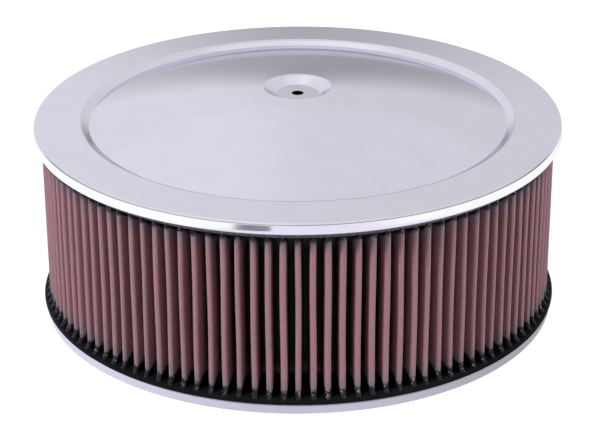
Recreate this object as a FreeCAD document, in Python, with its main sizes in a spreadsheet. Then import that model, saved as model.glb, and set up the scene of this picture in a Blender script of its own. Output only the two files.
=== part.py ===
import FreeCAD, Part
import math
import os
import Sketcher

# Round carburetor air cleaner: a domed steel lid, a pleated element and a flat steel base.
# The axis is +Z, z = 0 is the surface the base stands on, and all lengths are in millimetres.

SIZES = {
    # Sheet steel of the lid and the base
    "sheet_gauge": 0.8,
    # Lid
    "lid_radius": 181.0,
    "skirt_depth": 7.2,
    "rim_bend": 1.5,
    "ring_clearance": 4.4,
    "ring_run": 4.0,
    "ring_depth": 3.2,
    "dome_rise": 20.0,
    "dome_flat_count": 3,
    "dish_radius": 22.6,
    "dish_run": 7.1,
    "dish_depth": 5.0,
    "stud_hole_radius": 4.1,
    # Element
    "element_height": 127.0,
    "skirt_clearance": 1.0,
    "cap_thickness": 3.0,
    "cap_draft": 1.2,
    "cap_outer_margin": 4.2,
    "cap_inner_margin": 3.2,
    "pleat_count": 116,
    "pleat_depth": 19.4,
    "medium_thickness": 2.4,
    "tip_shoulder": 1.5,
    # Base
    "base_inset": 0.9,
    "base_height": 6.7,
    "step_clearance": 3.4,
    "step_run": 3.0,
    "step_rise": 4.0,
    "neck_bore_radius": 65.4,
    "neck_height": 11.0,
    "lip_width": 5.0,
    # Gasket under the neck
    "gasket_clearance": 1.6,
    "gasket_width": 7.0,
    "gasket_thickness": 3.2,
    # Plugged breather hole
    "breather_margin": 17.0,
    "breather_angle": 118.0,
    "breather_hole_radius": 11.0,
    "plug_clearance": 0.1,
    "plug_head_overhang": 3.2,
    "plug_head_thickness": 2.4,
    "plug_barb_overhang": 1.2,
    "plug_barb_length": 3.0,
}


# Two edges closer than this are the same edge
TOUCH = 1e-4
# An inner bevel is shorter than the outer one by this share of the sheet, so the wall stays even
BEVEL_SHARE = 2.0 - math.sqrt(2.0)


class Size:
    """A length held both as a number and as the sheet expression that gives it."""

    def __init__(self, value, text):
        self.value = value
        self.text = text

    def __add__(self, other):
        return Size(self.value + as_size(other).value, f"({self.text} + {as_size(other).text})")

    def __sub__(self, other):
        return Size(self.value - as_size(other).value, f"({self.text} - {as_size(other).text})")

    def __mul__(self, other):
        return Size(self.value * as_size(other).value, f"({self.text} * {as_size(other).text})")

    def __truediv__(self, other):
        return Size(self.value / as_size(other).value, f"({self.text} / {as_size(other).text})")


def as_size(length):
    return length if isinstance(length, Size) else Size(length, str(length))


def make_sheet(doc):
    """Write the driving sizes to a spreadsheet, one alias a row."""
    sheet = doc.addObject("Spreadsheet::Sheet", "dims")
    for row, (alias, value) in enumerate(SIZES.items(), start=1):
        sheet.set(f"A{row}", alias)
        sheet.set(f"B{row}", str(value))
        sheet.setAlias(f"B{row}", alias)
    doc.recompute()
    return sheet


doc = FreeCAD.newDocument("air_cleaner")
make_sheet(doc)
size = {alias: Size(value, f"dims.{alias}") for alias, value in SIZES.items()}
zero = Size(0.0, "0")

# Radii that follow the lid's: the element fits in its skirt, and lid and base locate inside the element
cap_radius = size["lid_radius"] - size["sheet_gauge"] - size["skirt_clearance"]
pleat_tip = cap_radius - size["cap_outer_margin"]
pleat_root = pleat_tip - size["pleat_depth"]
cap_bore = pleat_root - size["cap_inner_margin"]
ring_outer = cap_bore - size["ring_clearance"]
ring_inner = ring_outer - size["ring_run"]
base_radius = cap_radius - size["base_inset"]
step_foot = cap_bore - size["step_clearance"]
step_head = step_foot - size["step_run"]
breather_circle = step_head - size["breather_hole_radius"] - size["breather_margin"]
breather_turn = math.radians(SIZES["breather_angle"])
breather_x = breather_circle * Size(math.cos(breather_turn), "cos(dims.breather_angle * 1deg)")
breather_y = breather_circle * Size(math.sin(breather_turn), "sin(dims.breather_angle * 1deg)")


# Helpers for turned and stamped pieces

def origin_plane(body, role):
    return next(plane for plane in body.Origin.OriginFeatures if plane.Role == role)


def new_body(label):
    body = doc.addObject("PartDesign::Body", label)
    body.Label = label
    return body


def new_sketch(body, name, role):
    sketch = body.newObject("Sketcher::SketchObject", name)
    sketch.AttachmentSupport = (origin_plane(body, role), [""])
    sketch.MapMode = "FlatFace"
    return sketch


def bind(sketch, kind, side, point, length):
    """Hold one coordinate of a side's point at an expression, measured from the sketch origin."""
    index = sketch.addConstraint(Sketcher.Constraint(kind, -1, 1, side, point, length.value))
    sketch.setExpression(f"Constraints[{index}]", length.text)


def outline(body, name, corners):
    """Closed outline in the plane of the axis through (radius, height) corners."""
    sketch = new_sketch(body, name, "XZ_Plane")
    points = [FreeCAD.Vector(radius.value, height.value, 0) for radius, height in corners]
    for start, end in zip(points, points[1:] + points[:1]):
        sketch.addGeometry(Part.LineSegment(start, end))
    for side, (radius, height) in enumerate(corners):
        previous = side - 1 if side else len(corners) - 1
        sketch.addConstraint(Sketcher.Constraint("Coincident", previous, 2, side, 1))
        if radius.value == 0.0:
            sketch.addConstraint(Sketcher.Constraint("PointOnObject", side, 1, -2))
        else:
            bind(sketch, "DistanceX", side, 1, radius)
        if height.value == 0.0:
            sketch.addConstraint(Sketcher.Constraint("PointOnObject", side, 1, -1))
        else:
            bind(sketch, "DistanceY", side, 1, height)
    return sketch


def revolve(body, sketch):
    turned = body.newObject("PartDesign::Revolution", f"{body.Name}_turned")
    turned.Profile = sketch
    turned.ReferenceAxis = (sketch, ["V_Axis"])
    turned.Angle = 360.0
    doc.recompute()
    return turned


def bevel(body, corner, run):
    """Take the circular edge at a (radius, height) corner down to a flat of equal runs."""
    carrier = body.Tip
    names = [
        f"Edge{number}" for number, edge in enumerate(carrier.Shape.Edges, start=1)
        if isinstance(edge.Curve, Part.Circle)
        and abs(edge.Curve.Radius - corner[0].value) < TOUCH
        and abs(edge.Curve.Center.z - corner[1].value) < TOUCH
    ]
    flat = body.newObject("PartDesign::Chamfer", f"{body.Name}_bevel")
    flat.Base = (carrier, names)
    flat.setExpression("Size", run.text)
    doc.recompute()
    return flat


# Lid, drawn with the foot of its skirt at height zero

def dome(outer, inner):
    """Corners of the dome from its outer foot to its inner edge, on a parabola over the axis."""
    fall = outer[0] * outer[0] - inner[0] * inner[0]
    flats = SIZES["dome_flat_count"]
    corners = []
    for step in range(flats + 1):
        radius = outer[0] + (inner[0] - outer[0]) * (step / flats)
        share = (radius * radius - inner[0] * inner[0]) / fall
        corners.append((radius, inner[1] - (inner[1] - outer[1]) * share))
    return corners


def top_plate():
    body = new_body("top_plate")
    gauge = size["sheet_gauge"]
    rim = size["lid_radius"]
    flange = size["skirt_depth"]
    valley = (ring_inner, flange - size["ring_depth"])
    crown = (size["dish_radius"], flange + size["dome_rise"])
    dish = crown[1] - size["dish_depth"]
    top = [(ring_outer, flange)] + dome(valley, crown)
    top += [(size["dish_radius"] - size["dish_run"], dish), (size["stud_hole_radius"], dish)]
    under = [(radius, height - gauge) for radius, height in reversed(top)]
    rim_top = (rim, flange)
    rim_under = (rim - gauge, flange - gauge)
    revolve(body, outline(
        body, "lid_section", [(rim, zero), rim_top] + top + under + [rim_under, (rim - gauge, zero)]))
    bevel(body, rim_top, size["rim_bend"])
    bevel(body, rim_under, size["rim_bend"] - gauge * BEVEL_SHARE)
    foot = size["base_height"] + size["element_height"] + gauge - flange
    body.setExpression("Placement.Base.z", foot.text)
    return body


# Element: two moulded end caps and the folded medium between them

def end_cap(label):
    """Moulded ring that stands out past the pleats, drawn with its sealing face at height zero."""
    body = new_body(label)
    corners = [
        (cap_bore, zero),
        (cap_radius, zero),
        (cap_radius - size["cap_draft"], size["cap_thickness"]),
        (cap_bore, size["cap_thickness"]),
    ]
    revolve(body, outline(body, f"{label}_section", corners))
    return body


def lower_seal():
    body = end_cap("lower_seal")
    body.setExpression("Placement.Base.z", size["base_height"].text)
    return body


def upper_seal():
    body = end_cap("upper_seal")
    body.Placement.Rotation = FreeCAD.Rotation(FreeCAD.Vector(1, 0, 0), 180)
    body.setExpression("Placement.Base.z", (size["base_height"] + size["element_height"]).text)
    return body


def folded_loop(fold):
    """Closed polygon that repeats one fold round the axis.

    fold holds (half pitches, across, radius): the axis of a pleat or of the gap after it, the
    distance across that axis and the distance out along it."""
    count = int(SIZES["pleat_count"])
    points = []
    for pleat in range(count):
        for half_pitches, across, radius in fold:
            angle = math.pi * (2 * pleat + half_pitches) / count
            points.append(FreeCAD.Vector(
                radius * math.cos(angle) - across * math.sin(angle),
                radius * math.sin(angle) + across * math.cos(angle), 0))
    return Part.makePolygon(points + points[:1])


def pleat_pack():
    """The medium folded to and fro in even thickness: a pleat's two walls meet behind its rounded
    tip and spread inward to a flat fold, so each gap is a V that closes at the next fold."""
    tip = pleat_tip.value
    root = pleat_root.value
    medium = SIZES["medium_thickness"]
    shoulder = SIZES["tip_shoulder"]
    outside = [
        (0, -medium, tip - shoulder),
        (0, 0.0, tip),
        (0, medium, tip - shoulder),
        (1, 0.0, root + medium),
    ]
    inside = [(0, 0.0, tip - medium), (1, -medium, root), (1, medium, root)]
    section = doc.addObject("Part::Feature", "fold_section")
    section.Shape = Part.makeFace([folded_loop(outside), folded_loop(inside)], "Part::FaceMakerBullseye")
    pack = doc.addObject("Part::Extrusion", "pleat_pack")
    pack.Label = "pleat_pack"
    pack.Base = section
    pack.DirMode = "Custom"
    pack.Dir = FreeCAD.Vector(0, 0, 1)
    pack.Solid = True
    pack.setExpression("LengthFwd", (size["element_height"] - size["cap_thickness"] * 2).text)
    pack.setExpression("Placement.Base.z", (size["base_height"] + size["cap_thickness"]).text)
    return pack


# Base, drawn with the foot of its rim at height zero

def base_plate():
    """Seat for the element, a raised floor that centres it, and an upturned neck with an inward lip."""
    body = new_body("base_plate")
    gauge = size["sheet_gauge"]
    rim = base_radius
    seat = size["base_height"]
    floor = seat + size["step_rise"]
    bore = size["neck_bore_radius"]
    neck_under = floor - gauge + size["neck_height"]
    lip = bore - size["lip_width"]
    corners = [
        (rim, zero),
        (rim, seat),
        (step_foot, seat),
        (step_head, floor),
        (bore + gauge, floor),
        (bore + gauge, neck_under + gauge),
        (lip, neck_under + gauge),
        (lip, neck_under),
        (bore, neck_under),
        (bore, floor - gauge),
        (step_head, floor - gauge),
        (step_foot, seat - gauge),
        (rim - gauge, seat - gauge),
        (rim - gauge, zero),
    ]
    revolve(body, outline(body, "base_section", corners))

    breather = new_sketch(body, "breather_circle", "XY_Plane")
    hole = breather.addGeometry(Part.Circle(
        FreeCAD.Vector(breather_x.value, breather_y.value, 0), FreeCAD.Vector(0, 0, 1),
        size["breather_hole_radius"].value))
    bind(breather, "DistanceX", hole, 3, breather_x)
    bind(breather, "DistanceY", hole, 3, breather_y)
    radius = breather.addConstraint(Sketcher.Constraint("Radius", hole, size["breather_hole_radius"].value))
    breather.setExpression(f"Constraints[{radius}]", size["breather_hole_radius"].text)
    uncut = body.Tip.Shape.Volume
    pocket = body.newObject("PartDesign::Pocket", "breather_hole")
    pocket.Profile = breather
    pocket.Type = "ThroughAll"
    pocket.Reversed = True
    doc.recompute()
    if body.Tip.Shape.Volume > uncut - 1.0:
        raise RuntimeError("the breather hole cut nothing")
    return body


# Rubber pieces of the base

def neck_gasket():
    """Flat ring under the plate round the neck, which beds on the carburetor's shoulder."""
    inner = size["neck_bore_radius"] + size["gasket_clearance"]
    rings = []
    for name, radius in (("gasket_disc", inner + size["gasket_width"]), ("gasket_bore", inner)):
        ring = doc.addObject("Part::Cylinder", name)
        ring.setExpression("Radius", radius.text)
        ring.setExpression("Height", size["gasket_thickness"].text)
        rings.append(ring)
    gasket = doc.addObject("Part::Cut", "neck_gasket")
    gasket.Label = "neck_gasket"
    gasket.Base, gasket.Tool = rings
    underside = size["base_height"] + size["step_rise"] - size["sheet_gauge"]
    gasket.setExpression("Placement.Base.z", (underside - size["gasket_thickness"]).text)
    return gasket


def breather_plug():
    """Push-in plug that grips the sheet in the groove between its head and its barb."""
    body = new_body("breather_plug")
    hole = size["breather_hole_radius"]
    shank = hole - size["plug_clearance"]
    barb = size["plug_barb_length"]
    grip = barb + size["sheet_gauge"]
    head = grip + size["plug_head_thickness"]
    corners = [
        (zero, zero),
        (hole + size["plug_barb_overhang"], zero),
        (hole + size["plug_barb_overhang"], barb),
        (shank, barb),
        (shank, grip),
        (hole + size["plug_head_overhang"], grip),
        (hole + size["plug_head_overhang"], head),
        (zero, head),
    ]
    revolve(body, outline(body, "plug_section", corners))
    floor_under = size["base_height"] + size["step_rise"] - size["sheet_gauge"]
    body.setExpression("Placement.Base.x", breather_x.text)
    body.setExpression("Placement.Base.y", breather_y.text)
    body.setExpression("Placement.Base.z", (floor_under - barb).text)
    return body


# Build, check and write every piece

pieces = [
    top_plate(), upper_seal(), pleat_pack(), lower_seal(), base_plate(), neck_gasket(), breather_plug(),
]
doc.recompute()
for item in doc.Objects:
    if "Invalid" in item.State or "Error" in item.State:
        raise RuntimeError(f"{item.Label} failed to rebuild")
for piece in pieces:
    if piece.Shape.isNull() or not piece.Shape.isValid() or len(piece.Shape.Solids) != 1:
        raise RuntimeError(f"{piece.Label} is not one valid solid")

os.makedirs("parts", exist_ok=True)
for piece in pieces:
    piece.Shape.exportStep(os.path.join("parts", f"{piece.Label}.step"))
    box = piece.Shape.BoundBox
    print(f"{piece.Label}: volume {piece.Shape.Volume:.0f} mm3, z {box.ZMin:.2f} to {box.ZMax:.2f}")
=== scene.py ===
"""Looks of a carburetor air cleaner: plated lid and base, pleated gauze ring, rubber end caps, gasket, plug.

Every length is in metres, in the frame of the packed solids: +Z up, the base plate's foot at z = 0.
"""
import math

import bpy
import numpy as np
from bpy.props import FloatProperty, FloatVectorProperty, IntProperty, PointerProperty
from mathutils import Matrix, Vector


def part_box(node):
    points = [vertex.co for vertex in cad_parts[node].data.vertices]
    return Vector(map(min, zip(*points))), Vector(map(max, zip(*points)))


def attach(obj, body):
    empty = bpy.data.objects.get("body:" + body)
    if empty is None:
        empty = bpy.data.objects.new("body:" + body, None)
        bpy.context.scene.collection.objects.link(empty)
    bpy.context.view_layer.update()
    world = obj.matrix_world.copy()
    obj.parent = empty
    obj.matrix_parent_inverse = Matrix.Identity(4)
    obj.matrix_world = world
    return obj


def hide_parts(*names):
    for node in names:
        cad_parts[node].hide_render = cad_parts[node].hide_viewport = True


bl_info = {
    "name": "Carburetor Air Cleaner",
    "version": (1, 0, 0),
    "blender": (4, 5, 0),
    "location": "View3D > Sidebar > Air Cleaner",
    "description": "Adds the plated, pleated and moulded pieces of a round carburetor air cleaner",
    "category": "Add Mesh",
}

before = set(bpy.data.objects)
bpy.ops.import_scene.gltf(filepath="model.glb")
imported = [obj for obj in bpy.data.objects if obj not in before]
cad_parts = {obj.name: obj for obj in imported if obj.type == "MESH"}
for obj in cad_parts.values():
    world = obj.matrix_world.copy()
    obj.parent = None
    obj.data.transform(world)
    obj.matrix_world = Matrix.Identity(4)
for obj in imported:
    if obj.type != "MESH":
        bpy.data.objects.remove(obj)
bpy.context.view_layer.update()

BODY = "root"
MM = 0.001
FULL_TURN = 2.0 * math.pi

_, LID_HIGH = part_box("top_plate")
_, BASE_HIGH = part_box("base_plate")
PLEAT_LOW, PLEAT_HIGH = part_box("pleat_pack")
LOWER_SEAL_LOW, LOWER_SEAL_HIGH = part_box("lower_seal")
UPPER_SEAL_LOW, UPPER_SEAL_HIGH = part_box("upper_seal")


# Kinds of property

def length(name, description, default):
    """A size in metres."""
    return FloatProperty(name=name, description=description, default=default, min=0.0, precision=5,
                         subtype="DISTANCE", unit="LENGTH")


def angle(name, description, degrees):
    """An angle, given in degrees."""
    return FloatProperty(name=name, description=description, default=math.radians(degrees),
                         subtype="ANGLE", unit="ROTATION")


def colour(name, description, default):
    """A linear red, green and blue."""
    return FloatVectorProperty(name=name, description=description, default=default, size=3,
                               min=0.0, max=1.0, subtype="COLOR")


class LidSizes(bpy.types.PropertyGroup):
    """The stamped lid."""
    radius: length("Radius", "Outside of the skirt", LID_HIGH.x)
    gauge: length("Gauge", "Thickness of the sheet", 0.8 * MM)
    skirt_depth: length("Skirt depth", "From the flange's top to the skirt's foot", 8.4 * MM)
    rim_bend: length("Rim bend", "Radius of the bend from flange to skirt", 1.8 * MM)
    rim_flare: length("Rim flare", "How much wider the skirt is near its foot than at its top", 0.45 * MM)
    flare_bend: length("Flare bend", "Radius of the skirt's widest bend", 8 * MM)
    hem_roll: length("Hem roll", "Radius of the rolled foot of the skirt", 1.3 * MM)
    ring_outer: length("Ring outside", "Radius where the flange turns down into the ring", 148 * MM)
    ring_inner: length("Ring inside", "Radius where the ring meets the dome", 143.4 * MM)
    ring_depth: length("Ring depth", "Drop of the ring below the flange", 2.9 * MM)
    flange_lift: length("Flange lift", "Inner edge of the flange above its mean height", 0.45 * MM)
    flange_fall: length("Flange fall", "Outer edge of the flange below its mean height", 0.2 * MM)
    shoulder_bend: length("Shoulder bend", "Radius of the bend from flange to ring", 4.0 * MM)
    valley_bend: length("Valley bend", "Radius of the bend from ring to dome", 1.3 * MM)
    dome_rise: length("Dome rise", "Height of the dome's crown above the flange", 20 * MM)
    dish_radius: length("Dish radius", "Radius of the recess at its lip", 22.6 * MM)
    dish_floor: length("Dish floor", "Radius of the recess's flat floor", 15.5 * MM)
    dish_depth: length("Dish depth", "Depth of the recess", 5 * MM)
    dish_bend: length("Dish bend", "Radius of the recess's bends", 3.2 * MM)
    hole_radius: length("Hole radius", "Radius of the stud's hole", 4.1 * MM)
    dome_steps: IntProperty(name="Dome steps", description="Points along the dome", default=26, min=4)
    around: IntProperty(name="Around", description="Steps round the axis", default=384, min=12)


class BaseSizes(bpy.types.PropertyGroup):
    """The stamped base plate and its neck."""
    radius: length("Radius", "Outside of the foot", BASE_HIGH.x)
    gauge: length("Gauge", "Thickness of the sheet", 0.8 * MM)
    height: length("Height", "From the foot to the seat of the end cap", 6.7 * MM)
    bend: length("Bend", "Radius of the sheet's bends", 1.6 * MM)
    step_radius: length("Step radius", "Where the seat turns up into the step", 149 * MM)
    step_run: length("Step run", "Width of the step", 3 * MM)
    step_rise: length("Step rise", "Height of the step", 4 * MM)
    neck_bore: length("Neck bore", "Inside of the neck", 65.4 * MM)
    neck_height: length("Neck height", "From the floor to the top of the lip", 11 * MM)
    lip_width: length("Lip width", "How far the lip reaches in over the bore", 5 * MM)
    breather_circle: length("Breather circle", "Distance of the breather hole from the axis", 118 * MM)
    breather_angle: angle("Breather angle", "Where the breather hole is round the axis", 118)
    breather_radius: length("Breather radius", "Radius of the breather hole", 11 * MM)
    around: IntProperty(name="Around", description="Steps round the axis", default=360, min=12)


class PleatSizes(bpy.types.PropertyGroup):
    """The pleated gauze ring."""
    count: IntProperty(name="Pleats", description="Number of pleats", default=116, min=3)
    tip_radius: length("Tip radius", "Distance of the pleats' tips from the axis", 176.2 * MM)
    root_radius: length("Root radius", "Distance of the pleats' roots from the axis", 155.6 * MM)
    thickness: length("Thickness", "Thickness of the gauze and its mesh", 1.7 * MM)
    nose: length("Nose", "Radius of a pleat's outer fold", 1.95 * MM)
    fold: length("Inner fold", "Radius of the gap's bottom between two pleats", 1.8 * MM)
    sway: length("Sway", "How far a tip wanders sideways", 0.55 * MM)
    dip: length("Dip", "How far a tip falls short of the tip radius", 0.4 * MM)
    foot_spread: length("Foot spread", "How far the potted foot of a pleat spreads outward", 2.4 * MM)
    foot_height: length("Foot height", "Height over which the foot spreads", 5.5 * MM)
    nose_steps: IntProperty(name="Nose steps", description="Points round a pleat's nose", default=9, min=3)
    flank_steps: IntProperty(name="Flank steps", description="Points on a pleat's side", default=4, min=1)
    height_steps: IntProperty(name="Height steps", description="Rows up a pleat", default=9, min=2)


class SealSizes(bpy.types.PropertyGroup):
    """The two moulded end caps."""
    inner_radius: length("Inner radius", "Inside of an end cap", 152.4 * MM)
    spread: length("Spread", "How far the lower end cap bulges past its solid under the weight", 0.9 * MM)
    draft: length("Draft", "How far the outside tapers over its height", 1.2 * MM)
    edge: length("Edge", "Radius of the moulded edges", 0.7 * MM)
    potting_reach: length("Potting reach", "Radius of the potting between the pleats' heads", 174.9 * MM)
    potting_run: length("Potting run", "Width of the potting", 14 * MM)
    potting_depth: length("Potting depth", "How far the potting hangs below the upper end cap", 8.9 * MM)
    around: IntProperty(name="Around", description="Steps round the axis", default=360, min=12)


class FinishColours(bpy.types.PropertyGroup):
    """Colours of the finishes."""
    steel: colour("Plated steel", "Bright plating", (0.88, 0.875, 0.89))
    gauze_tip: colour("Gauze at the tips", "Oiled gauze under its wire mesh", (0.272, 0.150, 0.173))
    gauze_patch: colour("Gauze patches", "Where the oil lies thin on the tips", (0.31, 0.135, 0.142))
    gauze_flank: colour("Gauze on the sides", "Oiled gauze beside the tips", (0.278, 0.121, 0.135))
    # Nearly black: painted shade deep in the folds between the pleats, also the dark between the wire hoops
    gauze_fold_shade_and_weave_dark: colour("Gauze in the folds", "Oiled gauze deep between the pleats", (0.028, 0.034, 0.028))
    gauze_grey: colour("Greyed gauze", "Gauze next to the potting", (0.16, 0.13, 0.16))
    wire: colour("Wire", "Aluminium wire mesh", (0.45, 0.36, 0.41))
    rubber: colour("End cap rubber", "Moulded end caps", (0.005, 0.005, 0.006))
    fuzz: colour("Potted tips", "Gauze soaked with rubber", (0.018, 0.017, 0.021))
    # Slate grey over the dark rubber at the pleats' heads: painted sheen
    bead_sheen: colour("Bead", "Rubber bead round the pleats' heads", (0.16, 0.15, 0.19))
    # Slate grey, far lighter than the end caps: the dark compound, painted lighter as sheen
    potting: colour("Potting", "Compound between the pleats' heads", (0.12, 0.115, 0.14))
    gasket: colour("Gasket rubber", "Neck gasket and plug", (0.020, 0.020, 0.020))
    tent: colour("Tent", "What the plating reflects", (0.794, 0.779, 0.872))
    tent_twice: colour("Tent seen twice", "What plating mirrored in plating reflects", (0.66, 0.645, 0.80))
    floor: colour("Floor", "Studio floor", (0.62, 0.62, 0.63))


class StageSizes(bpy.types.PropertyGroup):
    """The studio and the camera."""
    focal_pixels: FloatProperty(name="Focal length", description="Focal length in pixels of the picture",
                                default=2066.6, min=1.0)
    picture_width: IntProperty(name="Picture width", description="Pixels across the picture", default=600)
    sensor: FloatProperty(name="Sensor", description="Width of the sensor in millimetres", default=36.0)
    side: FloatProperty(name="Side", description="Camera's place across the view", default=1.26 * MM,
                        subtype="DISTANCE", unit="LENGTH")
    back: length("Back", "Camera's distance in front of the axis", 1321.4 * MM)
    rise: length("Rise", "Camera's height over the floor", 663.2 * MM)
    tilt: angle("Tilt", "How far the camera looks down", 24.682)
    roll: angle("Roll", "How far the camera leans", -0.232)
    floor_size: length("Floor size", "Half of the floor's side", 12.0)


SETTINGS = {
    "air_cleaner_lid": LidSizes,
    "air_cleaner_base": BaseSizes,
    "air_cleaner_pleats": PleatSizes,
    "air_cleaner_seals": SealSizes,
    "air_cleaner_colours": FinishColours,
    "air_cleaner_stage": StageSizes,
}


# Profiles

# A bend's turn from point to point, and how far its guard points stand off
ARC_TURN = math.radians(9)
GUARD = 0.06 * MM

# The lid's edge: its run before the rim, and the hem's width and last bend in hem rolls and gauges
RIM_RUN = 10 * MM
HEM_WIDTH = 2.2
HEM_CURL = 1.1


def rounded(corners, radii):
    """A line through corners given as (r, z), with each inner corner rounded to its radius.

    A corner that turns by t is cut back by radius * tan(t / 2) along both sides. The points between are the
    arc centre + radius * (cos, sin), one for every few degrees. A guard point on each straight side next to
    an arc keeps the smooth shading of the bend off the flat.
    """
    corners = np.asarray(corners, float)
    runs = [corners[:1]]
    for before, corner, after, radius in zip(corners, corners[1:], corners[2:], radii):
        into = (corner - before) / np.linalg.norm(corner - before)
        out = (after - corner) / np.linalg.norm(after - corner)
        turn = math.atan2(into[0] * out[1] - into[1] * out[0], into @ out)
        cut = radius * math.tan(abs(turn) / 2)
        start = corner - into * cut
        side = math.copysign(1.0, turn) * np.array([-into[1], into[0]])
        centre = start + side * radius
        steps = np.linspace(0, turn, max(3, math.ceil(abs(turn) / ARC_TURN) + 1))[:, None]
        arm = start - centre
        across = np.array([-arm[1], arm[0]])
        arc = centre + arm * np.cos(steps) + across * np.sin(steps)
        runs += [(start - into * GUARD)[None], arc, (arc[-1] + out * GUARD)[None]]
    return np.concatenate(runs + [corners[-1:]])


def walled(line, gauge):
    """The closed outline of a sheet whose outer face is the line: it runs back along the line moved by gauge.

    Each point moves along the sum of its two sides' normals, divided by 1 + their dot product.
    """
    sides = np.diff(line, axis=0)
    sides /= np.linalg.norm(sides, axis=1, keepdims=True)
    normals = np.stack([sides[:, 1], -sides[:, 0]], axis=1)
    first = np.concatenate([normals[:1], normals])
    last = np.concatenate([normals, normals[-1:]])
    move = (first + last) / (1 + np.sum(first * last, axis=1, keepdims=True))
    return np.concatenate([line, (line + gauge * move)[::-1]])


def lid_outline(sizes, top):
    """The lid's sheet as (r, z): dish floor, dish wall, dome, ring, flange, skirt and its hem.

    The dome is the parabola z = top - (top - valley) * (r^2 - dish^2) / (ring^2 - dish^2).
    """
    flange = top - sizes.dome_rise
    valley = flange - sizes.ring_depth
    foot = flange - sizes.skirt_depth
    share_out = np.linspace(0, 1, sizes.dome_steps)
    reach = sizes.dish_radius + (sizes.ring_inner - sizes.dish_radius) * share_out
    fall = (reach**2 - sizes.dish_radius**2) / (sizes.ring_inner**2 - sizes.dish_radius**2)
    dome = np.stack([reach, top - (top - valley) * fall], axis=1)
    inner, outer = flange + sizes.flange_lift, flange - sizes.flange_fall
    share_on = (sizes.radius - RIM_RUN - sizes.ring_outer) / (sizes.radius - sizes.ring_outer)
    near_rim = (sizes.radius - RIM_RUN, inner + (outer - inner) * share_on)
    middle = rounded([dome[-3], dome[-1], (sizes.ring_outer, inner), near_rim],
                     [sizes.valley_bend, sizes.shoulder_bend])
    dish = rounded([(sizes.hole_radius, top - sizes.dish_depth), (sizes.dish_floor, top - sizes.dish_depth),
                    dome[0], dome[2]], [sizes.dish_bend, sizes.dish_bend])
    rim = rounded([near_rim, (sizes.radius - sizes.rim_flare, outer),
                   (sizes.radius, foot + 2 * sizes.hem_roll), (sizes.radius - sizes.rim_flare / 4, foot),
                   (sizes.radius - 2 * sizes.hem_roll, foot),
                   (sizes.radius - HEM_WIDTH * sizes.hem_roll, foot + sizes.hem_roll)],
                  [sizes.rim_bend, sizes.flare_bend, sizes.hem_roll, sizes.gauge * HEM_CURL])
    return walled(np.concatenate([dish[:-1], dome[3:-3], middle[:-1], rim[1:]]), sizes.gauge)


def base_outline(sizes):
    """The base's sheet as (r, z): lip, neck, floor, step, seat of the end cap, and the foot's skirt."""
    floor = sizes.height + sizes.step_rise
    neck = sizes.neck_bore + sizes.gauge
    lip = floor + sizes.neck_height
    corners = [(sizes.neck_bore - sizes.lip_width, lip), (neck, lip), (neck, floor),
               (sizes.step_radius - sizes.step_run, floor), (sizes.step_radius, sizes.height),
               (sizes.radius, sizes.height), (sizes.radius, 0.0)]
    return walled(rounded(corners, [sizes.bend] * (len(corners) - 2)), sizes.gauge)


def moulded(corners, middle, edge):
    """A closed outline of corners (r, z), all rounded to edge, begun at r = middle on its first face."""
    start = (middle, corners[0][1])
    return rounded([start, *corners, start], [edge] * len(corners))[:-1]


def seal_outline(sizes, low, high, radius, taper_up):
    """An end cap's section as (r, z): a flat ring with moulded edges, narrower by the draft at one face."""
    wide_at, narrow_at = (low, high) if taper_up else (high, low)
    corners = [(radius - sizes.draft, narrow_at), (radius, wide_at),
               (sizes.inner_radius, wide_at), (sizes.inner_radius, narrow_at)]
    return moulded(corners, (sizes.inner_radius + radius) / 2, sizes.edge)


def potting_outline(sizes, cap):
    """The potting under the upper end cap as (r, z): a band behind the pleats' tips with rounded edges."""
    head, foot = cap + sizes.edge, cap - sizes.potting_depth
    out, inside = sizes.potting_reach, sizes.potting_reach - sizes.potting_run
    return moulded([(out, head), (out, foot), (inside, foot), (inside, head)], (inside + out) / 2, sizes.edge)


# Meshes

# Where edges turn sharp, and the steps and half height of a cutting cylinder
SHARP_TURN = math.radians(30)
CUT_STEPS = 64
CUT_REACH = 0.1


def new_piece(name, data):
    """An object for a mesh, a lamp or a camera, in the scene."""
    piece = bpy.data.objects.new(name, data)
    bpy.context.scene.collection.objects.link(piece)
    return piece


def grid_faces(rows, columns):
    """Four corners of each face of a grid that is closed both ways, as row * columns + column."""
    row, column = np.meshgrid(np.arange(rows), np.arange(columns), indexing="ij")
    next_row, next_column = (row + 1) % rows, (column + 1) % columns
    corners = [(row, column), (next_row, column), (next_row, next_column), (row, next_column)]
    return np.stack([r * columns + c for r, c in corners], axis=-1).reshape(-1, 4)


def mesh_of(name, points, faces):
    """A smooth mesh of four-cornered faces, whose edges are sharp where faces meet at a steep angle."""
    mesh = bpy.data.meshes.new(name)
    mesh.vertices.add(len(points))
    mesh.vertices.foreach_set("co", points.astype(np.float32).ravel())
    mesh.loops.add(faces.size)
    mesh.loops.foreach_set("vertex_index", faces.astype(np.int32).ravel())
    mesh.polygons.add(len(faces))
    mesh.polygons.foreach_set("loop_start", np.arange(0, faces.size, 4, dtype=np.int32))
    mesh.update(calc_edges=True)
    mesh.shade_smooth()
    mesh.set_sharp_from_angle(angle=SHARP_TURN)
    if mesh.validate():
        raise RuntimeError(f"{name} has faces that don't hold")
    return mesh


def revolve(name, outline, around):
    """The closed outline turned about Z: (r cos a, r sin a, z).

    The outline is run clockwise, by the sign of the sum of r * next z - next r * z, so the faces point out.
    """
    r, z = outline.T
    area = np.sum(r * np.roll(z, -1) - np.roll(r, -1) * z)
    r, z = (r[::-1], z[::-1]) if area > 0 else (r, z)
    turn = np.linspace(0, FULL_TURN, around, endpoint=False)
    points = np.stack([np.outer(r, np.cos(turn)), np.outer(r, np.sin(turn)),
                       np.repeat(z[:, None], around, axis=1)], axis=-1)
    return mesh_of(name, points.reshape(-1, 3), grid_faces(len(r), around))


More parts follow.
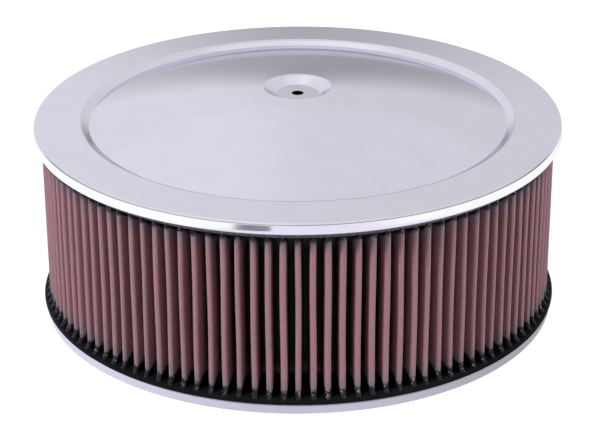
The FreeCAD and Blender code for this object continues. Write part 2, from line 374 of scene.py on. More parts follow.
def cut_hole(piece, at, radius):
    """Cuts an upright round hole through the piece at (x, y), with a cylinder that is taken away again."""
    turn = np.linspace(0, FULL_TURN, CUT_STEPS, endpoint=False)
    ring = np.stack([at[0] + radius * np.cos(turn), at[1] + radius * np.sin(turn), 0 * turn], axis=1)
    up = np.array([0, 0, CUT_REACH])
    here = np.arange(CUT_STEPS)
    after = np.roll(here, -1)
    sides = np.stack([here, after, after + CUT_STEPS, here + CUT_STEPS], axis=1).tolist()
    ends = [here[::-1].tolist(), (here + CUT_STEPS).tolist()]
    mesh = bpy.data.meshes.new("cutter")
    mesh.from_pydata(np.concatenate([ring - up, ring + up]).tolist(), [], sides + ends)
    cutter = new_piece("cutter", mesh)
    cut = piece.modifiers.new("hole", "BOOLEAN")
    cut.object = cutter
    cut.solver = "EXACT"
    whole = piece.data
    piece.data = bpy.data.meshes.new_from_object(piece.evaluated_get(bpy.context.evaluated_depsgraph_get()))
    piece.modifiers.clear()
    bpy.data.objects.remove(cutter)
    bpy.data.meshes.remove(mesh)
    bpy.data.meshes.remove(whole)


def pleat_contour(sizes):
    """One pleat's outer contour from gap to gap: across, radius, and the outward normal, in metres.

    The nose is a half circle of radius nose about (0, tip - nose). The gap's bottom is one of radius fold,
    about the middle between two pleats. Straight flanks join them. The inner contour is this one moved back
    along the normal by the thickness.
    """
    half = FULL_TURN / sizes.count / 2
    nose_at = sizes.tip_radius - sizes.nose
    fold_at = sizes.root_radius + sizes.thickness + sizes.fold
    fold_turn = np.linspace(0, math.pi / 2, sizes.nose_steps // 2 + 2)
    fold_across = half * fold_at - sizes.fold * np.sin(fold_turn)
    fold_reach = fold_at - sizes.fold * np.cos(fold_turn)
    nose_turn = np.linspace(math.pi / 2, 0, sizes.nose_steps // 2 + 1)
    nose_across = sizes.nose * np.sin(nose_turn)
    nose_reach = nose_at + sizes.nose * np.cos(nose_turn)
    way = np.linspace(0, 1, sizes.flank_steps + 2)[1:-1]
    flank_across = fold_across[-1] + (nose_across[0] - fold_across[-1]) * way
    flank_reach = fold_reach[-1] + (nose_reach[0] - fold_reach[-1]) * way
    across = np.concatenate([fold_across, flank_across, nose_across])
    reach = np.concatenate([fold_reach, flank_reach, nose_reach])
    side = np.concatenate([np.sin(fold_turn), np.ones_like(way), np.sin(nose_turn)])
    out = np.concatenate([np.cos(fold_turn), np.zeros_like(way), np.cos(nose_turn)])
    back = slice(-2, 0, -1)
    mirror = np.concatenate([-np.ones_like(across), np.ones_like(across[back])])
    across, reach, side, out = (np.concatenate([v, v[back]]) for v in (across, reach, side, out))
    return across * mirror, reach, side * mirror, out


# Pleats: the seed, the rows of the foot as shares of its height, how a tip wanders, and how much it widens
SEED = 7
FOOT_ROWS = np.array([0.7, 0.45, 0.22, 0.0])
LEAN_SHARE, BOW_SHARE = 0.6, 0.4
BOWS = 2.2
SWELL = 0.10


def pleat_mesh(name, sizes, low, high):
    """The pleated ring: the contour of every pleat, carried down the outside and back up the inside.

    A point at (across, radius) of pleat k lies at the angle k * pitch + across / radius. A tip wanders by
    sway * (a seeded number + a slow sine of the height), dips by a seeded number and is wider by another,
    all fading to nothing at the root. Near the foot the radius grows by
    foot_spread * (1 - height / foot_height)^2.
    """
    across, reach, side, out = pleat_contour(sizes)
    chance = np.random.default_rng(SEED)
    pleat = np.arange(sizes.count)
    lean, phase, dip, swell = chance.uniform(-1, 1, (4, sizes.count))
    foot = low + sizes.foot_height
    heights = np.concatenate([np.linspace(high, foot, sizes.height_steps), low + (foot - low) * FOOT_ROWS])
    rows = np.concatenate([heights, heights[::-1]])
    inside = np.repeat([0.0, sizes.thickness], len(heights))

    shape = (len(rows), sizes.count, len(across))
    row = rows[:, None, None]
    level = (row - low) / (high - low)
    back = inside[:, None, None]
    out_share = np.clip((reach - sizes.root_radius) / (sizes.tip_radius - sizes.root_radius), 0, 1)
    pleat, lean, phase, dip, swell = (v[None, :, None] for v in (pleat, lean, phase, dip, swell))
    wander = LEAN_SHARE * lean + BOW_SHARE * np.sin(math.pi * (BOWS * level + phase))
    spread = sizes.foot_spread * np.clip(1 - (row - low) / sizes.foot_height, 0, 1)**2
    radius = reach - back * out + (spread - sizes.dip * (0.5 + 0.5 * dip)) * out_share
    sideways = (across - back * side) * (1 + SWELL * swell * out_share) + sizes.sway * wander * out_share
    turn = pleat * FULL_TURN / sizes.count + sideways / radius
    points = np.stack(np.broadcast_arrays(radius * np.cos(turn), radius * np.sin(turn), row), axis=-1)
    columns = shape[1] * shape[2]
    faces = grid_faces(len(rows), columns)
    mesh = mesh_of(name, points.reshape(-1, 3), faces)

    step = np.hypot(np.diff(across, append=across[0]), np.diff(reach, append=reach[0]))
    run = np.concatenate([[0], np.cumsum(np.tile(step, sizes.count))])
    corner_row, corner_column = np.divmod(faces, columns)
    wrapped = (corner_column == 0) & (faces[:, [0]] % columns == columns - 1)
    along = run[np.where(wrapped, columns, corner_column)]
    uv = np.stack([along, rows[corner_row]], axis=-1) / MM
    mesh.uv_layers.new(name="weave").data.foreach_set("uv", uv.astype(np.float32).ravel())
    depth = np.broadcast_to(1 - out_share, shape).astype(np.float32)
    mesh.attributes.new("depth", "FLOAT", "POINT").data.foreach_set("value", depth.ravel())
    return mesh


# Shader nodes

WHITE = (1.0, 1.0, 1.0)


def with_alpha(tint):
    """A colour as a node's input takes it. A socket stays as it is."""
    return tint if isinstance(tint, bpy.types.NodeSocket) else (*tint, 1.0)


class Nodes:
    """Adds nodes to one shader tree and links them."""

    def __init__(self, owner):
        owner.use_nodes = True
        self.tree = owner.node_tree
        self.tree.nodes.clear()

    def add(self, kind, output=0, inputs=(), **options):
        """A node of a kind, with its options and inputs set; gives the output asked for."""
        node = self.tree.nodes.new(kind)
        for option, value in options.items():
            setattr(node, option, value)
        for key, value in dict(inputs).items():
            if isinstance(value, bpy.types.NodeSocket):
                self.tree.links.new(value, node.inputs[key])
            else:
                node.inputs[key].default_value = value
        return node.outputs[output]

    def maths(self, operation, value, *others):
        """The operation on the value and the next one, then on the result and each one after that."""
        for other in others or (0.0,):
            value = self.add("ShaderNodeMath", inputs={0: value, 1: other}, operation=operation)
        return value

    def ease(self, value, start, end, low=0.0, high=1.0):
        """low before start, high after end, and a smooth step between."""
        return self.add("ShaderNodeMapRange", interpolation_type="SMOOTHSTEP", inputs={
            "Value": value, "From Min": start, "From Max": end, "To Min": low, "To Max": high})

    def mix(self, factor, first, second):
        """The first colour where the factor is 0, the second where it is 1."""
        return self.add("ShaderNodeMix", output=2, data_type="RGBA", inputs={
            0: factor, 6: with_alpha(first), 7: with_alpha(second)})

    def blend(self, value, tint, *steps):
        """The colour tint, and past each step (start, end, colour) along the value that step's colour."""
        for start, end, colour_past in steps:
            tint = self.mix(self.ease(value, start, end), tint, colour_past)
        return tint

    def either(self, factor, first, second):
        """The first shader where the factor is 0, the second where it is 1."""
        return self.add("ShaderNodeMixShader", inputs={0: factor, 1: first, 2: second})

    def glow(self, kind, tint, strength):
        """A shader of a kind that gives light."""
        return self.add(kind, inputs={"Color": with_alpha(tint), "Strength": strength})

    def vector(self, operation, first, second=(0, 0, 0), output=0):
        """The operation on two vectors."""
        return self.add("ShaderNodeVectorMath", output=output, operation=operation,
                        inputs={0: first, 1: second})

    def noise(self, vector, scale, detail=3.0):
        """A noise from 0 to 1 with scale waves to a metre."""
        return self.add("ShaderNodeTexNoise", inputs={"Vector": vector, "Scale": scale, "Detail": detail})

    def bump(self, height, strength, distance):
        """A normal from a height."""
        return self.add("ShaderNodeBump", inputs={
            "Height": height, "Strength": strength, "Distance": distance})

    def place(self):
        """Object coordinates."""
        return self.add("ShaderNodeTexCoord", output="Object")

    def split(self, vector):
        """The three parts of a vector."""
        return self.add("ShaderNodeSeparateXYZ", inputs={0: vector}).node.outputs


def surface(name, shade):
    """A material whose surface is the shader that shade(nodes) gives."""
    material = bpy.data.materials.new(name)
    nodes = Nodes(material)
    nodes.tree.links.new(shade(nodes), nodes.tree.nodes.new("ShaderNodeOutputMaterial").inputs["Surface"])
    return material


# Plating: waves to a metre of its haze, its swells and its peel, and how they show
HAZE_WAVES, SWELL_WAVES, PEEL_WAVES = 60.0, 14.0, 700.0
PEEL_SHARE = 0.01
HAZE_DIMS, HAZED = (0.35, 0.7), 0.975
HAZE_ROUGHENS = (0.3, 0.7, 0.07, 0.11)
PLATE_RELIEF = (0.25, 0.4 * MM)


def plated_steel(colours):
    """Bright plating over stamped sheet: nearly a mirror, with slight swells, haze and peel."""
    def shade(nodes):
        place = nodes.place()
        haze = nodes.noise(place, HAZE_WAVES)
        swells = nodes.noise(place, SWELL_WAVES, detail=1.0)
        peel = nodes.noise(place, PEEL_WAVES, detail=2.0)
        relief = nodes.maths("ADD", swells, nodes.maths("MULTIPLY", peel, PEEL_SHARE))
        hazed = [HAZED * part for part in colours.steel]
        return nodes.add("ShaderNodeBsdfPrincipled", inputs={
            "Base Color": nodes.blend(haze, colours.steel, (*HAZE_DIMS, hazed)),
            "Metallic": 1.0,
            "Roughness": nodes.ease(haze, *HAZE_ROUGHENS),
            "Normal": nodes.bump(relief, *PLATE_RELIEF)})
    return surface("plated_steel", shade)


# Gauze: pitches in millimetres, and waves to a metre of its blotches, wear, ragged potting and painted glints
WIRE_PITCH, THREAD_PITCH = 1.5, 0.5
BLOTCH_WAVES, WEAR_WAVES, RAGGED_WAVES, GLINT_WAVES = 55.0, 420.0, 150.0, 700.0

# Depths in a pleat, 0 at its tip and 1 at its root, between which each zone comes or goes
# FOLD_SHADE_COMES: where the painted shade of the folds comes in
TIP_GOES, FOLD_SHADE_COMES, MESH_GOES, PAINTED_GLINTS_GO, WICKING_COMES = (
    (0.11, -0.01), (0.20, 0.66), (0.40, 0.08), (0.10, 0.02), (0.05, 0.35))

# Where blotches show, and the wire mesh: dark between the hoops, bright on the crests, and where it is worn
BLOTCHES = (0.50, 0.70, 0.0, 0.7)
BETWEEN_HOOPS = (0.2, -0.8, 0.0, 0.36)
HOOP_CRESTS, UPRIGHT_CRESTS = (0.3, 0.95, 0.0, 0.25), (0.6, 1.0, 0.0, 0.12)
UNWORN = (0.38, 0.62)

# Potting on the gauze: its reach from the foot and the head, its ragged edge, and its further reach in folds
# From the head the black reaches further than from the foot: partly potting, partly painted shade under the
# lid's rim
POTTING_FOOT, POTTING_HEAD_AND_RIM_SHADE = 3.2 * MM, 8.8 * MM
POTTING_RAGGED, POTTING_IN_FOLDS = 5 * MM, 3 * MM
POTTING_EDGE = 1.6 * MM
GREY_RUN, GREY_SHARE = 12 * MM, 0.75
# The slate band round the pleats' heads is painted sheen on the dark rubber: its height below the head, and
# its edge
BEAD_SHEEN, BEAD_SHEEN_EDGE = 7.9 * MM, 0.5 * MM
FUZZ_SHARE = 0.7
# Painted glints on the potted tips, in the wire's colour: where the noise shows them, and how far under the
# potting's edge
PAINTED_GLINTS, PAINTED_GLINTS_BELOW = (0.60, 0.68, 0.0, 0.6), (-6 * MM, -1 * MM)

# The gauze's shine and relief
POTTING_SHINES = (0.0, 1.0, 0.72, 0.35)
GAUZE_SHEEN = 0.16
WIRE_RELIEF, THREAD_RELIEF, LUMP_RELIEF = 0.6, 0.25, 6.0
GAUZE_RELIEF = (0.6, 0.25 * MM)


def dyed_gauze(nodes, colours, place, depth, on_tip):
    """The cloth's colour: pink tips with redder blotches, browner sides, and painted shade that makes the
    folds nearly black.
    """
    blotch = nodes.noise(place, BLOTCH_WAVES, detail=4.0)
    cloth = nodes.mix(on_tip, colours.gauze_flank, colours.gauze_tip)
    # Painted shade: the gauze darkens to nearly black deep in the folds
    cloth = nodes.blend(depth, cloth, (*FOLD_SHADE_COMES, colours.gauze_fold_shade_and_weave_dark))
    patch = nodes.maths("MULTIPLY", nodes.ease(blotch, *BLOTCHES), on_tip)
    return nodes.mix(patch, cloth, colours.gauze_patch)


def meshed_gauze(nodes, colours, cloth, uprights, hoops, *seen):
    """The cloth under the wire mesh: dark between the hoops and bright on the wires, by the shares seen."""
    between = nodes.maths("MULTIPLY", nodes.ease(hoops, *BETWEEN_HOOPS), *seen)
    crests = nodes.maths("ADD", nodes.ease(hoops, *HOOP_CRESTS), nodes.ease(uprights, *UPRIGHT_CRESTS))
    crests = nodes.maths("MULTIPLY", crests, *seen)
    return nodes.mix(crests, nodes.mix(between, cloth, colours.gauze_fold_shade_and_weave_dark), colours.wire)


def potting_margin(nodes, place, depth, low, high):
    """How far a spot lies clear of the potting, below 0 inside it.

    The potting reaches a height that a noise lifts and lowers, further in the folds than on the tips. From
    the head it reaches further down than from the foot, partly as painted shade under the lid's rim.
    """
    height = nodes.split(place)[2]
    ragged = nodes.maths("MULTIPLY", nodes.noise(place, RAGGED_WAVES), POTTING_RAGGED)
    reach = nodes.maths("ADD", ragged, nodes.ease(depth, *WICKING_COMES, 0.0, POTTING_IN_FOLDS))
    over_foot = nodes.maths("SUBTRACT", height, low, reach, POTTING_FOOT)
    under_head = nodes.maths("SUBTRACT", high, height, reach, POTTING_HEAD_AND_RIM_SHADE)
    return nodes.maths("MINIMUM", over_foot, under_head)


def oiled_gauze(colours, low, high):
    """Cotton gauze, oiled red, under a woven wire mesh; black potting wicks into both ends.

    At the head the black reaches further down, partly as painted shade under the lid's rim.

    The weave is two sets of lines on the map of arc length and height in millimetres. The potting greys the
    gauze next to it, and a band of dark rubber, painted slate grey as sheen, runs round the pleats' heads.
    """
    def shade(nodes):
        place = nodes.place()
        weave = nodes.split(nodes.add("ShaderNodeUVMap", uv_map="weave"))
        depth = nodes.add("ShaderNodeAttribute", output="Fac", attribute_name="depth")
        wear = nodes.noise(place, WEAR_WAVES, detail=2.0)

        def waves(axis, pitch):
            return nodes.maths("SINE", nodes.maths("MULTIPLY", weave[axis], FULL_TURN / pitch))
        uprights, hoops = waves(0, WIRE_PITCH), waves(1, WIRE_PITCH)
        threads = nodes.maths("MULTIPLY", waves(0, THREAD_PITCH), waves(1, THREAD_PITCH))

        on_tip = nodes.ease(depth, *TIP_GOES)
        cloth = dyed_gauze(nodes, colours, place, depth, on_tip)
        shown = meshed_gauze(nodes, colours, cloth, uprights, hoops,
                             nodes.ease(depth, *MESH_GOES), nodes.ease(wear, *UNWORN))

        # The black at the head is partly painted shade under the lid's rim
        clear = potting_margin(nodes, place, depth, low, high)
        potted = nodes.ease(clear, -POTTING_EDGE, POTTING_EDGE, 1.0, 0.0)
        shown = nodes.mix(nodes.ease(clear, 0.0, GREY_RUN, GREY_SHARE, 0.0), shown, colours.gauze_grey)
        fuzz = nodes.mix(nodes.maths("MULTIPLY", on_tip, FUZZ_SHARE), colours.rubber, colours.fuzz)
        shown = nodes.mix(potted, shown, fuzz)
        # Painted sheen: a slate band over the dark rubber at the pleats' heads
        bead_sheen_at = (high - BEAD_SHEEN - BEAD_SHEEN_EDGE, high - BEAD_SHEEN + BEAD_SHEEN_EDGE)
        shown = nodes.blend(nodes.split(place)[2], shown, (*bead_sheen_at, colours.bead_sheen))
        # Painted highlights: wire-coloured glints on the potted tips
        painted_glints = nodes.ease(nodes.noise(place, GLINT_WAVES, detail=1.0), *PAINTED_GLINTS)
        painted_glints = nodes.maths("MULTIPLY", painted_glints, nodes.ease(clear, *PAINTED_GLINTS_BELOW),
                             nodes.ease(depth, *PAINTED_GLINTS_GO), potted)
        shown = nodes.mix(painted_glints, shown, colours.wire)

        wires = nodes.maths("MAXIMUM", uprights, hoops)
        relief = nodes.maths("ADD", nodes.maths("MULTIPLY", wires, WIRE_RELIEF),
                             nodes.maths("MULTIPLY", threads, THREAD_RELIEF),
                             nodes.maths("MULTIPLY", wear, potted, LUMP_RELIEF))
        return nodes.add("ShaderNodeBsdfPrincipled", inputs={
            "Base Color": shown,
            "Roughness": nodes.ease(potted, *POTTING_SHINES),
            "Specular IOR Level": GAUZE_SHEEN,
            "Normal": nodes.bump(relief, *GAUZE_RELIEF)})
    return surface("oiled_gauze", shade)


# Rubber: waves to a metre of the grain on the end caps and on the small pieces, and of the dusty patches
CAP_GRAIN, GASKET_GRAIN, DUST_WAVES = 900.0, 1400.0, 35.0
DUST, DUST_GAIN, DUST_LIFT = (0.5, 0.8, 0.0, 0.6), 2.0, 0.004
DULL, SMOOTHER, ROUGHER = (0.3, 0.7), 0.06, 0.08
RUBBER_SHEEN = 0.06
RUBBER_RELIEF = (0.35, 0.15 * MM)
CAP_ROUGHNESS, POTTING_ROUGHNESS, GASKET_ROUGHNESS = 0.55, 0.45, 0.55


def moulded_rubber(name, tint, roughness, grain):
    """Moulded rubber: a fine grain and dusty patches."""
    def shade(nodes):
        place = nodes.place()
        cloud = nodes.noise(place, DUST_WAVES, detail=5.0)
        dusty = [part * DUST_GAIN + DUST_LIFT for part in tint]
        return nodes.add("ShaderNodeBsdfPrincipled", inputs={
            "Base Color": nodes.mix(nodes.ease(cloud, *DUST), tint, dusty),
            "Roughness": nodes.ease(cloud, *DULL, roughness - SMOOTHER, roughness + ROUGHER),
            "Specular IOR Level": RUBBER_SHEEN,
            "Normal": nodes.bump(nodes.noise(place, grain), *RUBBER_RELIEF)})
    return surface(name, shade)


# Operators

def finish_piece(piece, material, slot, *nodes):
    """Dresses a piece, puts it on the body and lets it stand for the solids of the nodes, if any."""
    piece.data.materials.append(material)
    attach(piece, BODY)
    if nodes:
        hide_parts(*nodes)


class AIRCLEANER_OT_lid(bpy.types.Operator):
    """Add the stamped, plated lid"""
    bl_idname = "air_cleaner.lid"
    bl_label = "Add Lid"

    def execute(self, context):
        sizes = context.scene.air_cleaner_lid
        piece = new_piece("lid", revolve("lid", lid_outline(sizes, LID_HIGH.z), sizes.around))
        finish_piece(piece, plated_steel(context.scene.air_cleaner_colours), "plated_steel", "top_plate")
        return {"FINISHED"}


class AIRCLEANER_OT_base(bpy.types.Operator):
    """Add the stamped, plated base with its neck and breather hole"""
    bl_idname = "air_cleaner.base"
    bl_label = "Add Base"

    def execute(self, context):
        sizes = context.scene.air_cleaner_base
        piece = new_piece("base", revolve("base", base_outline(sizes), sizes.around))
        turn = sizes.breather_angle
        at = (sizes.breather_circle * math.cos(turn), sizes.breather_circle * math.sin(turn))
        cut_hole(piece, at, sizes.breather_radius)
        finish_piece(piece, plated_steel(context.scene.air_cleaner_colours), "plated_steel", "base_plate")
        return {"FINISHED"}


class AIRCLEANER_OT_pleats(bpy.types.Operator):
    """Add the pleated gauze ring"""
    bl_idname = "air_cleaner.pleats"
    bl_label = "Add Pleats"

    def execute(self, context):
        sizes = context.scene.air_cleaner_pleats
        mesh = pleat_mesh("pleats", sizes, PLEAT_LOW.z, PLEAT_HIGH.z)
        gauze = oiled_gauze(context.scene.air_cleaner_colours, PLEAT_LOW.z, PLEAT_HIGH.z)
        finish_piece(new_piece("pleats", mesh), gauze, "oiled_gauze", "pleat_pack")
        return {"FINISHED"}


class AIRCLEANER_OT_seals(bpy.types.Operator):
    """Add the two moulded rubber end caps and the potting under the upper one"""
    bl_idname = "air_cleaner.seals"
    bl_label = "Add End Caps"

    def execute(self, context):
        sizes = context.scene.air_cleaner_seals
        colours = context.scene.air_cleaner_colours

        def ring(name, outline):
            return new_piece(name, revolve(name, outline, sizes.around))
        rubber = moulded_rubber("end_cap_rubber", list(colours.rubber), CAP_ROUGHNESS, CAP_GRAIN)
        reach = LOWER_SEAL_HIGH.x + sizes.spread
        lower = seal_outline(sizes, LOWER_SEAL_LOW.z, LOWER_SEAL_HIGH.z, reach, True)
        finish_piece(ring("lower_end_cap", lower), rubber, "end_cap_rubber", "lower_seal")
        upper = seal_outline(sizes, UPPER_SEAL_LOW.z, UPPER_SEAL_HIGH.z, UPPER_SEAL_HIGH.x, False)
        finish_piece(ring("upper_end_cap", upper), rubber, "end_cap_rubber", "upper_seal")
        # The potting band is painted slate grey: sheen on the dark compound between the pleats' heads
        potting = moulded_rubber("potting", list(colours.potting), POTTING_ROUGHNESS, CAP_GRAIN)
        band = potting_outline(sizes, UPPER_SEAL_LOW.z)
        finish_piece(ring("upper_potting", band), potting, "end_cap_rubber")
        return {"FINISHED"}


class AIRCLEANER_OT_small_rubber(bpy.types.Operator):
    """Finish the neck gasket and the breather plug, which keep the solids' shapes"""
    bl_idname = "air_cleaner.small_rubber"
    bl_label = "Finish Gasket and Plug"

    def execute(self, context):
        gasket = list(context.scene.air_cleaner_colours.gasket)
        rubber = moulded_rubber("gasket_rubber", gasket, GASKET_ROUGHNESS, GASKET_GRAIN)
        for name in ("neck_gasket", "breather_plug"):
            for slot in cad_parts[name].material_slots:
                slot.material = rubber
        return {"FINISHED"}


class AIRCLEANER_OT_stage(bpy.types.Operator):
    """Add the floor, the tent that the plating reflects, the lamps and the camera"""
    bl_idname = "air_cleaner.stage"
    bl_label = "Add Stage"

    def execute(self, context):
        sizes = context.scene.air_cleaner_stage
        colours = context.scene.air_cleaner_colours
        add_floor(sizes, colours)
        add_tent(colours)
        add_lamps()
        add_camera(sizes)
        context.scene.view_settings.view_transform = "Standard"
        return {"FINISHED"}


# Stage

# The dark hill on the studio's far side: its widths over its distance, its height and the power of its slope
HILL_RIGHT, HILL_LEFT, HILL_HEIGHT, HILL_POWER = 0.5, 0.41, 0.455, 2.5
HILL_EDGE = (0.15, 0.85)
HILL_FROM = (0.0, 0.3)
NEAREST = 0.05

# The floor to the camera: how bright, and the share of white near the object and far off
FLOOR_GLOW = 1.18
FLOOR_SHARES = (0.19, 0.34, 0.80, 0.92)

# The floor in the plating, a painted reflection with painted shadow near the object: a colour at the left,
# then (start, end, colour) steps to the right
PAINTED_FLOOR_NEAR_SHADOW = ((0.80, 0.775, 0.95), (-0.16, 0.0, (0.63, 0.605, 0.755)), (0.02, 0.16, (0.44, 0.43, 0.46)))
PAINTED_FLOOR_OUT = ((1.12, 1.14, 1.13), (-0.28, -0.12, (0.90, 0.87, 1.02)), (0.22, 0.42, (1.10, 1.10, 1.10)))

# A slate line on it round the object and a dark patch at the front left, both painted dark reflections
PAINTED_SLATE_STEP = (-0.17, -0.13, (0.08, 0.077, 0.095))
PAINTED_SLATE_FROM, PAINTED_SLATE_TO = (0.196, 0.212), (0.24, 0.30)
PAINTED_PATCH_AT, PAINTED_PATCH_SCALE = (-0.170, -0.600, 0), (1.6, 1.0, 0)
PAINTED_PATCH_STEP = (0.125, 0.095, (0.25, 0.24, 0.30))

# The same painted reflection of the floor behind the object, outside the hill and in it
BEHIND_FROM = (0.15, 0.5)
BEHIND, BEHIND_IN_HILL = (0.74, 0.725, 0.82), (0.50, 0.485, 0.60)

# The tent: eases of its brightness along x, up the walls and overhead, and what the hill and its hem take off
TENT_ACROSS = (-0.18, 0.09, 0.965, 0.855)
TENT_UPPER = (0.44, 0.58, 0.0, 0.045)
TENT_TOP, TENT_TOP_ENDS = (0.75, 0.95, 0.0, 0.15), (0.20, 0.04)
HEM_BELOW, HEM_IN_FRONT = (0.50, 0.40), (0.70, 0.55)
HILL_DROP, HEM_DROP = 0.41, 0.50
SECOND_BOUNCE = (1.2, 1.8)
SOFT_LIGHT = 0.20

# Lamps: name, place, side and watts
LAMPS = (("key", (-1.40, -1.20, 2.2), 0.5, 104.0), ("fill", (1.9, -0.6, 1.2), 0.6, 38.0))
LAMPS_AIM = (0, 0, 0.06)

CLIP_END = 100.0


def far_side_shade(nodes, x, y, height):
    """How much the studio darkens low down behind the object: 1 inside a hill on the far side, 0 outside.

    The hill's side is where u + (height / HILL_HEIGHT)^HILL_POWER lies within HILL_EDGE, with
    u = x / y / HILL_RIGHT at the right and -x / y / HILL_LEFT at the left.
    """
    right, left = (nodes.maths("DIVIDE", x, width) for width in (HILL_RIGHT, -HILL_LEFT))
    across = nodes.maths("DIVIDE", nodes.maths("MAXIMUM", right, left), nodes.maths("MAXIMUM", y, NEAREST))
    climb = nodes.maths("DIVIDE", nodes.maths("ABSOLUTE", height), HILL_HEIGHT)
    side = nodes.maths("ADD", across, nodes.maths("POWER", climb, HILL_POWER))
    inside = nodes.ease(side, *HILL_EDGE, 1.0, 0.0)
    return nodes.maths("MULTIPLY", inside, nodes.ease(y, *HILL_FROM))


def painted_floor_reflection(nodes, place):
    """Painted reflection of the floor: brighter at the left, painted shadow near the object, dimmer behind
    it.
    """
    x, y, _ = nodes.split(place)
    reach = nodes.vector("LENGTH", place, output="Value")
    near = nodes.blend(x, *PAINTED_FLOOR_NEAR_SHADOW)
    shown = nodes.blend(reach, near, (*PAINTED_SLATE_FROM, nodes.blend(x, near, PAINTED_SLATE_STEP)),
                        (*PAINTED_SLATE_TO, nodes.blend(x, *PAINTED_FLOOR_OUT)))
    patch = nodes.vector("MULTIPLY", nodes.vector("SUBTRACT", place, PAINTED_PATCH_AT), PAINTED_PATCH_SCALE)
    shown = nodes.blend(nodes.vector("LENGTH", patch, output="Value"), shown, PAINTED_PATCH_STEP)
    behind = nodes.mix(far_side_shade(nodes, x, y, 0.0), BEHIND, BEHIND_IN_HILL)
    return nodes.blend(y, shown, (*BEHIND_FROM, behind))


def add_floor(sizes, colours):
    """A flat pale floor, nearly white to the camera with a soft shadow near the object."""
    half = sizes.floor_size
    points = np.array([(-half, -half, 0), (half, -half, 0), (half, half, 0), (-half, half, 0)])

    def shade(nodes):
        light_path = nodes.add("ShaderNodeLightPath").node.outputs
        place = nodes.place()
        pale = nodes.add("ShaderNodeBsdfDiffuse", inputs={"Color": with_alpha(colours.floor)})
        white = nodes.glow("ShaderNodeEmission", WHITE, FLOOR_GLOW)
        reach = nodes.vector("LENGTH", place, output="Value")
        seen = nodes.either(nodes.ease(reach, *FLOOR_SHARES), pale, white)
        # Painted reflection: to glossy rays the floor glows with a painted colour, painted shadow near the
        # object included
        mirrored = nodes.glow("ShaderNodeEmission", painted_floor_reflection(nodes, place), 1.0)
        other = nodes.either(light_path["Is Glossy Ray"], pale, mirrored)
        return nodes.either(light_path["Is Camera Ray"], other, seen)
    floor = new_piece("floor", mesh_of("floor", points, np.array([[0, 1, 2, 3]])))
    floor.data.materials.append(surface("floor", shade))


def add_tent(colours):
    """The world: white to the camera, a plain soft light to matt surfaces, and to the plating a pale tent.

    The tent is a little brighter at the left and overhead, darker low down behind the object, and darker
    still low down at the sides and in front, under its hem. Where plating mirrors plating, it is bluer and
    dimmer.
    """
    world = bpy.data.worlds.new("tent")
    bpy.context.scene.world = world
    nodes = Nodes(world)
    light_path = nodes.add("ShaderNodeLightPath").node.outputs
    x, y, z = nodes.split(nodes.add("ShaderNodeTexCoord", output="Generated"))
    overhead = nodes.maths("MULTIPLY", nodes.ease(z, *TENT_TOP), nodes.ease(y, *TENT_TOP_ENDS))
    level = nodes.maths("ADD", nodes.ease(x, *TENT_ACROSS), overhead, nodes.ease(z, *TENT_UPPER))
    hem = nodes.maths("MULTIPLY", nodes.ease(y, *HEM_IN_FRONT), nodes.ease(z, *HEM_BELOW))
    level = nodes.maths("SUBTRACT", level,
                        nodes.maths("MULTIPLY", far_side_shade(nodes, x, y, z), HILL_DROP),
                        nodes.maths("MULTIPLY", hem, HEM_DROP))
    tint = nodes.blend(light_path["Glossy Depth"], colours.tent, (*SECOND_BOUNCE, colours.tent_twice))
    tent = nodes.glow("ShaderNodeBackground", tint, level)
    soft = nodes.glow("ShaderNodeBackground", WHITE, SOFT_LIGHT)
    white = nodes.glow("ShaderNodeBackground", WHITE, 1.0)
    other = nodes.either(light_path["Is Glossy Ray"], soft, tent)
    shader = nodes.either(light_path["Is Camera Ray"], other, white)
    nodes.tree.links.new(shader, nodes.tree.nodes.new("ShaderNodeOutputWorld").inputs["Surface"])


def add_lamps():
    """A high soft key from the front left and a weaker fill from the front right. Plating mirrors neither."""
    for name, place, side, watts in LAMPS:
        lamp = bpy.data.lights.new(name, "AREA")
        lamp.size = side
        lamp.energy = watts
        holder = new_piece(name, lamp)
        holder.visible_glossy = False
        holder.location = place
        holder.rotation_euler = (Vector(LAMPS_AIM) - Vector(place)).to_track_quat("-Z", "Y").to_euler()


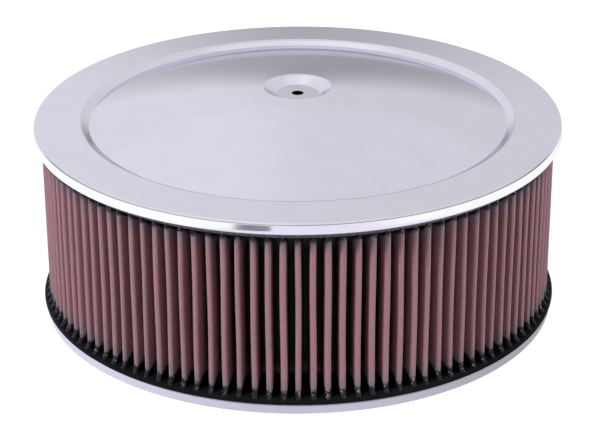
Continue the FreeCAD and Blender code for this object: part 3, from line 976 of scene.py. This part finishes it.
def add_camera(sizes):
    """The camera: axes turned by the tilt about X, then by the roll about the line of sight."""
    data = bpy.data.cameras.new("camera")
    data.sensor_width = sizes.sensor
    data.lens = sizes.focal_pixels * sizes.sensor / sizes.picture_width
    data.clip_end = CLIP_END
    camera = new_piece("camera", data)
    look = Vector((0, math.cos(sizes.tilt), -math.sin(sizes.tilt)))
    up = Vector((0, math.sin(sizes.tilt), math.cos(sizes.tilt)))
    right = Vector((1, 0, 0))
    right, up = (right * math.cos(sizes.roll) + up * math.sin(sizes.roll),
                 up * math.cos(sizes.roll) - right * math.sin(sizes.roll))
    turn = Matrix((right, up, -look)).transposed()
    camera.matrix_world = Matrix.Translation((sizes.side, -sizes.back, sizes.rise)) @ turn.to_4x4()
    bpy.context.scene.camera = camera


# Panel and registration

class AIRCLEANER_PT_panel(bpy.types.Panel):
    """Lists the pieces and their sizes"""
    bl_idname = "AIRCLEANER_PT_panel"
    bl_label = "Air Cleaner"
    bl_space_type = "VIEW_3D"
    bl_region_type = "UI"
    bl_category = "Air Cleaner"

    def draw(self, context):
        for operator in OPERATORS:
            self.layout.operator(operator.bl_idname)
        for name, group in SETTINGS.items():
            box = self.layout.box()
            box.label(text=group.__doc__)
            settings = getattr(context.scene, name)
            for key in group.__annotations__:
                box.prop(settings, key)


OPERATORS = (AIRCLEANER_OT_lid, AIRCLEANER_OT_base, AIRCLEANER_OT_seals, AIRCLEANER_OT_pleats,
             AIRCLEANER_OT_small_rubber, AIRCLEANER_OT_stage)
CLASSES = (*SETTINGS.values(), *OPERATORS, AIRCLEANER_PT_panel)


def register():
    for item in CLASSES:
        bpy.utils.register_class(item)
    for name, group in SETTINGS.items():
        setattr(bpy.types.Scene, name, PointerProperty(type=group))


def unregister():
    for name in SETTINGS:
        delattr(bpy.types.Scene, name)
    for item in reversed(CLASSES):
        bpy.utils.unregister_class(item)


def main():
    """Registers the classes and makes every piece in order."""
    register()
    for operator in OPERATORS:
        group, name = operator.bl_idname.split(".")
        getattr(getattr(bpy.ops, group), name)()


if __name__ == "__main__":
    main()
